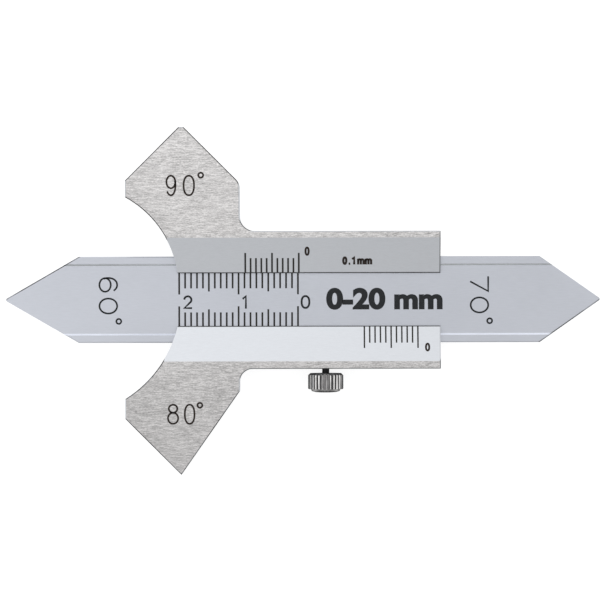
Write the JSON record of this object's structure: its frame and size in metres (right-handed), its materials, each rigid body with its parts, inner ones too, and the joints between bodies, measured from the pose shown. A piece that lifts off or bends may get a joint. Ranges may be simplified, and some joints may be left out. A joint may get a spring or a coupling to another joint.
{
  "type": "weld gauge",
  "caption": "Weld gauge: a pointed beam with an engraved scale slides past verniers in a slide with angled heads, held by a knurled lock screw.",
  "frame": {"origin": "on the slide's back face, below the beam's centre line, at the zero line of the fillet vernier", "axes": "+X along the beam from its 60 degree tip to its 70 degree tip, +Y to the 90 degree head, +Z out of the scale face"},
  "size_m": [0.0999, 0.0584, 0.006],
  "materials": {
    "slide_steel": "fine ground grain along the beam, satin bevels",
    "beam_steel": "satin",
    "screw_steel": "turned and knurled, darkened",
    "gib_brass": "plain"
  },
  "bodies": {
    "slide": {"slide_body": "slide_steel", "gib_strip": "gib_brass", "gib_screw_left": "screw_steel", "gib_screw_right": "screw_steel"},
    "beam": {"beam": "beam_steel"},
    "pad": {"lock_pad": "gib_brass"},
    "screw": {"lock_screw": "screw_steel"}
  },
  "joints": [
    {"name": "beam_slide", "type": "slide", "parent": "slide", "child": "beam", "axis": [1, 0, 0], "range_m": [0, 0.04]},
    {"name": "pad_travel", "type": "slide", "parent": "slide", "child": "pad", "axis": [0, -1, 0], "range_m": [0, 0.0004]},
    {"name": "lock_turn", "type": "hinge", "parent": "pad", "child": "screw", "pos_m": [0.0045, -0.012, 0.003], "axis": [0, -1, 0], "range_deg": [0, 360]}
  ],
  "couplings": [
    {"joint": "lock_turn", "follows": "pad_travel", "rad_per_m": 15708}
  ]
}
